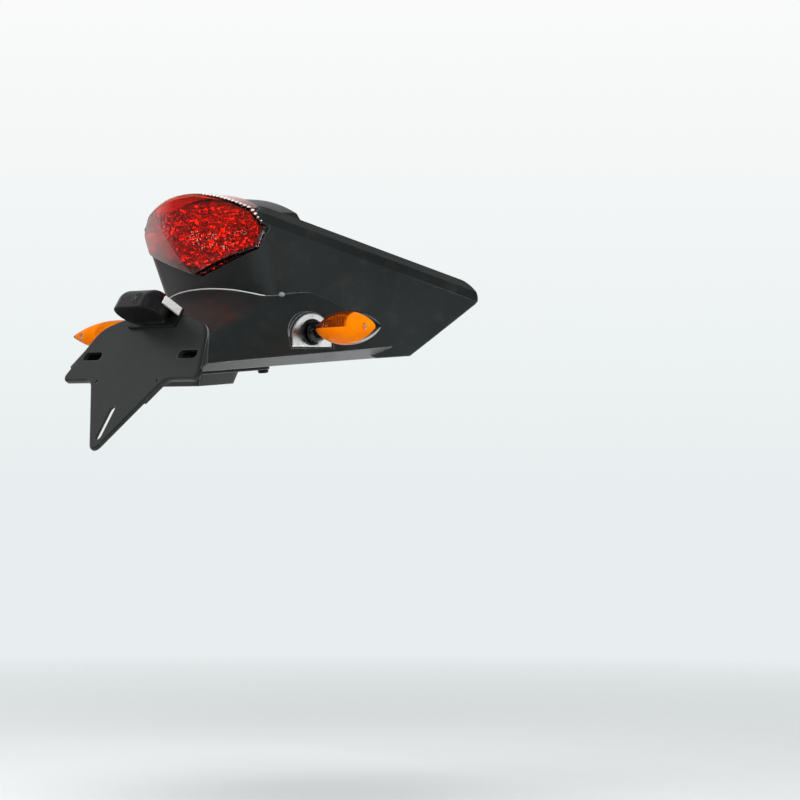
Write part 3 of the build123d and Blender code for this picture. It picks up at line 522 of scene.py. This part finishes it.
# Room: white above and pale grey-blue below. Its light is full only from the far side of the part.
ROOM_DIM = 0.18
ROOM_DIM_TOP = 0.4
ROOM_DIFFUSE = 0.6
world = bpy.data.worlds.new("room")
scene.world = world
world.use_nodes = True
room = Finish("room", world.node_tree)
way = room.node("ShaderNodeTexCoord", out="Generated")
height = room.node("ShaderNodeSeparateXYZ", {}, {"Vector": way}, out="Z")
backdrop = room.blend(room.span(height, -0.02, 0.13), srgb(232, 238, 239), srgb(250, 251, 250))
toward_eye = room.vector_maths("DOT_PRODUCT", way, -ahead)
behind = room.span(toward_eye, -0.62, -0.42, 1.0, ROOM_DIM)
dim = behind * room.span(height, 0.25, 0.7, 1.0, ROOM_DIM_TOP)
direct = room.node("ShaderNodeLightPath", out="Is Camera Ray")
glossy = room.node("ShaderNodeLightPath", out="Is Glossy Ray")
through = room.node("ShaderNodeLightPath", out="Is Transmission Ray")
mirrored = room.maths("MAXIMUM", glossy, through)
strength = direct + (1 - direct) * (mirrored * dim + (1 - mirrored) * dim * ROOM_DIFFUSE)
background = world.node_tree.nodes["Background"]
world.node_tree.links.new(backdrop.socket, background.inputs["Color"])
world.node_tree.links.new(strength.socket, background.inputs["Strength"])

# Floor well below the part, so that it carries only a soft shadow, and fades out all round
FLOOR_SIZE = 60.0
FLOOR_DROP = 0.30
FLOOR_FADE = (0.35, 1.3)
bpy.ops.object.select_all(action="DESELECT")
bpy.ops.mesh.primitive_plane_add(size=FLOOR_SIZE, location=(0, 0, -FLOOR_DROP))
floor = bpy.context.object
floor.name = "studio_floor"
paper = Finish("floor_paper")
reach = paper.vector_maths("LENGTH", paper.place())
paper.set(
    base_color=srgb(236, 240, 241), roughness=0.9, alpha=paper.span(reach, *FLOOR_FADE, 1.0, 0.0)
)
floor.data.materials.append(paper.material)


def softbox(name, place, aim, wide, tall, power, mirrored, tint=(1, 1, 1)):
    """A flat studio lamp that looks at a point, and shows in gloss when mirrored."""
    lamp = bpy.data.objects.new(name, bpy.data.lights.new(name, "AREA"))
    lamp.data.shape = "RECTANGLE"
    lamp.data.size = wide
    lamp.data.size_y = tall
    lamp.data.energy = power
    lamp.data.color = tint
    lamp.visible_glossy = mirrored
    lamp.visible_camera = False
    scene.collection.objects.link(lamp)
    look = Vector(aim) - Vector(place)
    lamp.matrix_world = Matrix.Translation(place) @ look.to_track_quat("-Z", "Y").to_matrix().to_4x4()


# Lamps: place and aim in metres, width and height, power in watts, and whether gloss mirrors them
FLANK_PINK = (1.0, 0.5, 0.47)
softbox("overhead", (-0.3, -0.3, 1.6), (0, 0, 0), 1.6, 1.6, 26.0, False)
softbox("rear_fill", (-0.6, -1.6, 0.5), (0, -0.08, 0.03), 1.0, 1.0, 4.0, False)
softbox("plate_panel", (-1.46, -0.75, 1.05), (0, -0.11, -0.01), 1.0, 1.0, 0.75, True)
softbox("left_panel", (-1.5, -0.12, 0.20), (0, -0.06, 0.07), 0.6, 0.9, 0.52, True, FLANK_PINK)
softbox("front_fill", (1.5, -1.2, 0.5), (0.08, -0.03, 0.02), 1.2, 1.2, 38.0, False)
softbox("right_panel", (1.1, 0.95, 0.05), (0.06, 0, 0.03), 0.6, 0.6, 1.2, True)
softbox("floor_bounce", (0.06, 0.34, -0.28), (0.06, 0.3, 0), 0.7, 0.9, 6.0, True)

# Small lamps that spark in the red lens
SPARK_SIZE = 0.14
SPARK_POWER = 0.38
SPARKS = ((0.40, -1.49, 0.41), (-0.20, -1.10, 1.15), (0.75, -1.30, 0.60), (1.26, -0.72, 0.68))
for number, place in enumerate(SPARKS):
    softbox(f"spark_{number}", place, LIGHT_TIP, SPARK_SIZE, SPARK_SIZE, SPARK_POWER, True)

# Smaller, warmer ones round its left: degrees from straight behind, and metres up from its tip
GLINT_SIZE = 0.06
GLINT_POWER = 0.10
GLINT_REACH = 1.5
GLINT_WARM = (1.0, 0.52, 0.36)
GLINTS = ((50, -0.12), (44, -0.26), (37, -0.18), (30, -0.29), (24, -0.22), (17, -0.15))
for number, (turn, lift) in enumerate(GLINTS):
    aside = Vector((-GLINT_REACH * sin(radians(turn)), -GLINT_REACH * cos(radians(turn)), lift))
    place = LIGHT_TIP + aside
    softbox(f"glint_{number}", place, LIGHT_TIP, GLINT_SIZE, GLINT_SIZE, GLINT_POWER, True, GLINT_WARM)


def start_piece():
    """Clear the selection before a piece is modelled."""
    if bpy.context.object and bpy.context.object.mode != "OBJECT":
        bpy.ops.object.mode_set(mode="OBJECT")
    bpy.ops.object.select_all(action="DESELECT")


def finish_piece(name, finish, smooth=30.0):
    """Close a modelled piece: outward faces, shading, finish, and the body it rides on."""
    piece = bpy.context.object
    bpy.ops.object.mode_set(mode="EDIT")
    bpy.ops.mesh.select_all(action="SELECT")
    bpy.ops.mesh.normals_make_consistent(inside=False)
    bpy.ops.object.mode_set(mode="OBJECT")
    bpy.ops.object.transform_apply(location=True, rotation=True, scale=True)
    bpy.ops.object.shade_smooth_by_angle(angle=radians(smooth))
    piece.name = name
    piece.data.name = name
    piece.data.materials.clear()
    piece.data.materials.append(finish)
    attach(piece, "root")
    return piece


def pick_faces(test):
    """Select the faces of the mesh in edit mode whose centre, in its own coordinates, passes the test."""
    mesh = bmesh.from_edit_mesh(bpy.context.object.data)
    for face in mesh.faces:
        face.select_set(test(face.calc_center_median()))
    mesh.select_flush_mode()
    bmesh.update_edit_mesh(bpy.context.object.data)


def light_top(across):
    """Height of the tail light's upper edge over its lower tip."""
    side = abs(across)
    if side <= LIGHT_TOP[0]:
        return LIGHT_APEX - TOP_ARC_R + sqrt(TOP_ARC_R ** 2 - side ** 2)
    part = (side - LIGHT_TOP[0]) / (LIGHT_CORNER[0] - LIGHT_TOP[0])
    return LIGHT_TOP[1] + part * (LIGHT_CORNER[1] - LIGHT_TOP[1])


def light_bottom(across):
    """Height of the tail light's lower edge over its lower tip."""
    side = abs(across)
    if side <= LIGHT_KEEL[0]:
        return LIGHT_KEEL[1] * side / LIGHT_KEEL[0]
    part = (side - LIGHT_KEEL[0]) / (LIGHT_CORNER[0] - LIGHT_KEEL[0])
    return LIGHT_KEEL[1] + part * (LIGHT_CORNER[1] - LIGHT_KEEL[1])


# Prisms over the tail light's reflector
PRISM_WIDE = LED_PITCH / 6
PRISM_TALL = LED_ROW / 4
PRISM_COLUMNS = 49
PRISM_ROWS = 25
PRISM_MARGIN = 6.2 * MM
PRISM_STAND = 0.2 * MM
PRISM_RIM = 0.15 * MM
PRISM_PEAK = 1.2 * MM
PRISM_SCATTER = 1.7 * MM
PRISM_WALL = 0.4 * MM
LED_OPENING = 1.1 * PRISM_WIDE


def outside_light(centre):
    """Whether a prism's cell leaves the tail light's outline, less a margin."""
    up = centre.z - LIGHT_TIP.z
    for step in (-1, 1):
        side = centre.x + step * PRISM_WIDE / 2
        if abs(side) > LIGHT_CORNER[0] - PRISM_MARGIN:
            return True
        if up + PRISM_TALL / 2 > light_top(side) - PRISM_MARGIN:
            return True
        if up - PRISM_TALL / 2 < light_bottom(side) + PRISM_MARGIN:
            return True
    return False


def over_led(centre):
    """Whether a prism's cell lies in front of a light source."""
    row = round((centre.z - LIGHT_TIP.z - LED_FIRST) / LED_ROW)
    if not 0 <= row < len(LED_ROWS):
        return False
    column = round(centre.x / LED_PITCH)
    if abs(column) > LED_ROWS[row] // 2:
        return False
    spot = Vector((column * LED_PITCH, centre.y, LIGHT_TIP.z + LED_FIRST + row * LED_ROW))
    return (centre - spot).length < LED_OPENING


def light_prisms():
    """Mosaic of small bright prisms over the tail light's reflector, open in front of each light source."""
    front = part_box("tail_light_reflector")[0].y - PRISM_STAND
    middle = LIGHT_TIP.z + LED_FIRST + LED_ROW
    start_piece()
    bpy.ops.mesh.primitive_grid_add(x_subdivisions=PRISM_COLUMNS, y_subdivisions=PRISM_ROWS, size=1.0)
    bpy.ops.object.mode_set(mode="EDIT")
    bpy.ops.mesh.select_all(action="SELECT")
    bpy.ops.transform.resize(value=(PRISM_COLUMNS * PRISM_WIDE, PRISM_ROWS * PRISM_TALL, 1.0))
    bpy.ops.transform.rotate(value=-pi / 2, orient_axis="X", center_override=(0, 0, 0))
    bpy.ops.transform.translate(value=(0, front, middle))
    pick_faces(lambda centre: outside_light(centre) or over_led(centre))
    bpy.ops.mesh.delete(type="FACE")
    bpy.ops.mesh.select_all(action="SELECT")
    bpy.ops.mesh.inset(thickness=PRISM_RIM, use_individual=True)
    bpy.ops.mesh.poke(offset=0.0)
    mesh = bmesh.from_edit_mesh(bpy.context.object.data)
    for vertex in mesh.verts:
        around = vertex.link_faces
        vertex.select_set(len(around) == 4 and all(len(face.verts) == 3 for face in around))
    mesh.select_flush_mode()
    bmesh.update_edit_mesh(bpy.context.object.data)
    bpy.ops.transform.translate(value=(0, -PRISM_PEAK, 0))
    bpy.ops.transform.vertex_random(offset=PRISM_SCATTER, uniform=0.6, normal=0.0, seed=5)
    bpy.ops.object.mode_set(mode="OBJECT")
    solid = bpy.context.object.modifiers.new("thickness", "SOLIDIFY")
    solid.thickness = PRISM_WALL
    bpy.ops.object.modifier_apply(modifier=solid.name)
    finish_piece("tail_light_prisms", finishes["tail_light_reflector"], smooth=5.0)


# Teeth along the red lens's upper corners: one tooth's size, and where the row runs on the right
TOOTH = Vector((1.7 * MM, 2.2 * MM, 1.2 * MM))
TOOTH_BEVEL = 0.25 * MM
TOOTH_PITCH = 3.3 * MM
TOOTH_FIRST = 16 * MM
TOOTH_LAST = 64 * MM
TOOTH_BACK = 2.4 * MM
TOOTH_SUNK = 0.5 * MM
SLOPE_STEP = 0.1 * MM


def lens_teeth():
    """Row of fine teeth round the upper corners of the red lens, painted white as glints along its edge."""
    start_piece()
    bpy.ops.mesh.primitive_cube_add(size=1.0)
    bpy.ops.object.mode_set(mode="EDIT")
    bpy.ops.mesh.select_all(action="SELECT")
    bpy.ops.transform.resize(value=TOOTH)
    bpy.ops.mesh.bevel(offset=TOOTH_BEVEL, segments=2, affect="EDGES")
    across = TOOTH_FIRST
    turn = 0.0
    place = Vector((0, 0, 0))
    while across < TOOTH_LAST:
        rise = light_top(across + SLOPE_STEP) - light_top(across - SLOPE_STEP)
        wanted = atan2(rise / (2 * SLOPE_STEP), 1.0)
        bend = LENS_BOW_R - sqrt(LENS_BOW_R ** 2 - across ** 2)
        back = LIGHT_TIP.y - LENS_STAND + bend + TOOTH_BACK
        spot = Vector((across, back, LIGHT_TIP.z + light_top(across) - TOOTH_SUNK))
        bpy.ops.mesh.duplicate()
        bpy.ops.transform.rotate(value=turn - wanted, orient_axis="Y", center_override=place)
        bpy.ops.transform.translate(value=spot - place)
        turn = wanted
        place = spot
        across += TOOTH_PITCH * cos(wanted)
    # The tooth that the others were copied from is still at the origin, and goes
    pick_faces(lambda centre: centre.length < max(TOOTH))
    bpy.ops.mesh.delete(type="FACE")
    bpy.ops.object.mode_set(mode="OBJECT")
    flip = bpy.context.object.modifiers.new("other_side", "MIRROR")
    bpy.ops.object.modifier_apply(modifier=flip.name)
    finish_piece("tail_light_teeth", tooth_glint_finish)


# Search for the crease over the shelf, in millimetres, by rays that look forward from the rear
CREASE_HALF = 64
CREASE_STEP = 2
CREASE_RISE = 0.25
CREASE_RISES = range(40, 180)
CREASE_REAR = -200


def shelf_crease():
    """Points of the corner between the shelf's top and the cowl, the furthest forward at each width."""
    body = nodes["tail_body"]
    line = []
    for width in range(-CREASE_HALF, CREASE_HALF + 1, CREASE_STEP):
        deepest = None
        for rise in CREASE_RISES:
            start = Vector((width * MM, CREASE_REAR * MM, rise * CREASE_RISE * MM))
            hit, where, _, _ = body.ray_cast(start, Vector((0, 1, 0)))
            if hit and (deepest is None or where.y > deepest.y):
                deepest = where.copy()
        if deepest is not None:
            line.append(deepest)
    return line


def smoothed(points, passes=3):
    """Even out a line of points, keeping its ends."""
    for _ in range(passes):
        inner = [(a + 2 * b + c) / 4 for a, b, c in zip(points, points[1:], points[2:])]
        points = [points[0]] + inner + [points[-1]]
    return points


BEAD_R = 0.5 * MM
BEAD_SIDES = 10


def crease_bead(line):
    """Fine moulded bead that lies in the corner over the shelf, between the two pips, pale as a painted
    highlight along that crease.
    """
    points = [point for point in line if abs(point.x) <= PIP_HALF]
    start_piece()
    bpy.ops.mesh.primitive_circle_add(vertices=BEAD_SIDES, radius=BEAD_R, fill_type="NGON")
    bpy.ops.object.mode_set(mode="EDIT")
    bpy.ops.mesh.select_all(action="SELECT")
    bpy.ops.transform.rotate(value=pi / 2, orient_axis="Y", center_override=(0, 0, 0))
    bpy.ops.transform.translate(value=points[0])
    for first, second in zip(points, points[1:]):
        bpy.ops.mesh.extrude_region_move(TRANSFORM_OT_translate={"value": second - first})
    finish_piece("shelf_bead", bead_highlight_finish, smooth=60.0)


PIP_R = 2.0 * MM
PIP_SHAPE = (2.3, 0.8, 0.95)


def crease_pips(line):
    """Small flattened ball at each end of the bead, pale as a painted highlight."""
    for name, width in (("left_shelf_pip", -PIP_HALF), ("right_shelf_pip", PIP_HALF)):
        end = min(line, key=lambda point: abs(point.x - width))
        start_piece()
        bpy.ops.mesh.primitive_uv_sphere_add(segments=28, ring_count=16, radius=PIP_R, location=end)
        bpy.ops.object.mode_set(mode="EDIT")
        bpy.ops.mesh.select_all(action="SELECT")
        bpy.ops.transform.resize(value=PIP_SHAPE, center_override=end)
        bpy.ops.object.mode_set(mode="OBJECT")
        finish_piece(name, pip_highlight_finish, smooth=60.0)


GASKET_R = 8.8 * MM
GASKET_THICK = 1.2 * MM
GASKET_ROLL = 0.5 * MM


def stem_gasket(side):
    """Black rubber gasket under the stem's flange, with a rolled rim."""
    low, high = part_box(f"{side}_indicator_stem")
    if side == "right":
        middle = low.x + GASKET_THICK / 2
    else:
        middle = high.x - GASKET_THICK / 2
    centre = Vector((middle, (low.y + high.y) / 2, (low.z + high.z) / 2))
    start_piece()
    bpy.ops.mesh.primitive_cylinder_add(vertices=40, radius=GASKET_R, depth=GASKET_THICK, location=centre)
    bpy.ops.object.mode_set(mode="EDIT")
    bpy.ops.mesh.select_all(action="SELECT")
    bpy.ops.transform.rotate(value=pi / 2, orient_axis="Y", center_override=centre)
    bpy.ops.mesh.bevel(offset=GASKET_ROLL, segments=3, affect="EDGES")
    bpy.ops.object.mode_set(mode="OBJECT")
    finish_piece(f"{side}_stem_gasket", finishes["indicator_stem"], smooth=40.0)


# Ribs in the amber lens: their size, the first one's distance along the pod, and their stand to the rear
RIB_COUNT = 6
RIB_WIDE = 0.9 * MM
RIB_DEEP = 0.7 * MM
RIB_BEVEL = 0.2 * MM
RIB_FIRST = 46 * MM
RIB_PITCH = 3.9 * MM
RIB_REAR = 5.0 * MM
RIB_FOOT = 0.4 * MM
RIB_ROOT = 0.3 * MM


def pod_hollow(along):
    """Radius of the hollow in the indicator at a distance from its boss."""
    return POD_HOLLOW_R - POD_HOLLOW_ARC + sqrt(POD_HOLLOW_ARC ** 2 - (along - POD_MIDDLE) ** 2)


def lens_ribs():
    """Row of moulded upright ribs inside the upper part of each amber lens, rooted in its wall."""
    ribs = []
    start_piece()
    for number in range(RIB_COUNT):
        along = RIB_FIRST + RIB_PITCH * number
        top = sqrt((pod_hollow(along) + RIB_ROOT) ** 2 - RIB_REAR ** 2)
        place = POD_START + POD_ALONG * along + POD_REAR * RIB_REAR + POD_UP * (RIB_FOOT + top) / 2
        bpy.ops.mesh.primitive_cube_add(size=1.0, location=place)
        bpy.ops.object.mode_set(mode="EDIT")
        bpy.ops.mesh.select_all(action="SELECT")
        bpy.ops.transform.resize(value=(RIB_WIDE, RIB_DEEP, top - RIB_FOOT), center_override=place)
        bpy.ops.transform.rotate(value=POD_SWEEP, orient_axis="Z", center_override=place)
        bpy.ops.mesh.bevel(offset=RIB_BEVEL, segments=3, affect="EDGES")
        bpy.ops.object.mode_set(mode="OBJECT")
        ribs.append(bpy.context.object)
    for rib in ribs:
        rib.select_set(True)
    bpy.ops.object.join()
    right = finish_piece("right_lens_ribs", rib_finish, smooth=50.0)
    start_piece()
    left = right.copy()
    left.data = right.data.copy()
    scene.collection.objects.link(left)
    left.data.transform(Matrix.Scale(-1, 4, (1, 0, 0)))
    left.select_set(True)
    bpy.context.view_layer.objects.active = left
    finish_piece("left_lens_ribs", rib_finish, smooth=50.0)


# Rays on the lamp hood: their middle, from the carrier's, and the sizes of the hub and of one ray
BURST_ASIDE = 5 * MM
BURST_OUT = 24.3 * MM
BURST_UP = 28.6 * MM
BURST_THICK = 1.0 * MM
HUB_R = 1.5 * MM
HUB_BEVEL = 0.2 * MM
RAY_COUNT = 10
RAY_LONG = 2.6 * MM
RAY_WIDE = 0.6 * MM
RAY_MIDDLE = (3.4 * MM, 0, -0.2 * MM)
RAY_BEVEL = 0.15 * MM


def hood_sunburst():
    """Ring of small rays round a hub on the lamp hood's curve."""
    centre = PLATE_MIDDLE + Vector((BURST_ASIDE, 0, 0)) + PLATE_OUT * BURST_OUT + PLATE_UP * BURST_UP
    lean = PLATE_OUT.to_track_quat("Z", "X").to_matrix().to_4x4()
    start_piece()
    bpy.ops.mesh.primitive_cylinder_add(vertices=32, radius=HUB_R, depth=BURST_THICK)
    bpy.ops.object.mode_set(mode="EDIT")
    bpy.ops.mesh.select_all(action="SELECT")
    bpy.ops.mesh.bevel(offset=HUB_BEVEL, segments=2, affect="EDGES")
    bpy.ops.mesh.select_all(action="DESELECT")
    bpy.ops.mesh.primitive_cube_add(size=1.0, location=RAY_MIDDLE)
    bpy.ops.transform.resize(value=(RAY_LONG, RAY_WIDE, BURST_THICK), center_override=RAY_MIDDLE)
    bpy.ops.mesh.bevel(offset=RAY_BEVEL, segments=2, affect="EDGES")
    for _ in range(RAY_COUNT - 1):
        bpy.ops.mesh.duplicate()
        bpy.ops.transform.rotate(value=2 * pi / RAY_COUNT, orient_axis="Z", center_override=(0, 0, 0))
    bpy.ops.object.mode_set(mode="OBJECT")
    bpy.context.object.matrix_world = Matrix.Translation(centre) @ lean
    finish_piece("hood_sunburst", ray_finish)


crease = smoothed(shelf_crease())
light_prisms()
lens_teeth()
crease_bead(crease)
crease_pips(crease)
stem_gasket("right")
stem_gasket("left")
hood_sunburst()
lens_ribs()
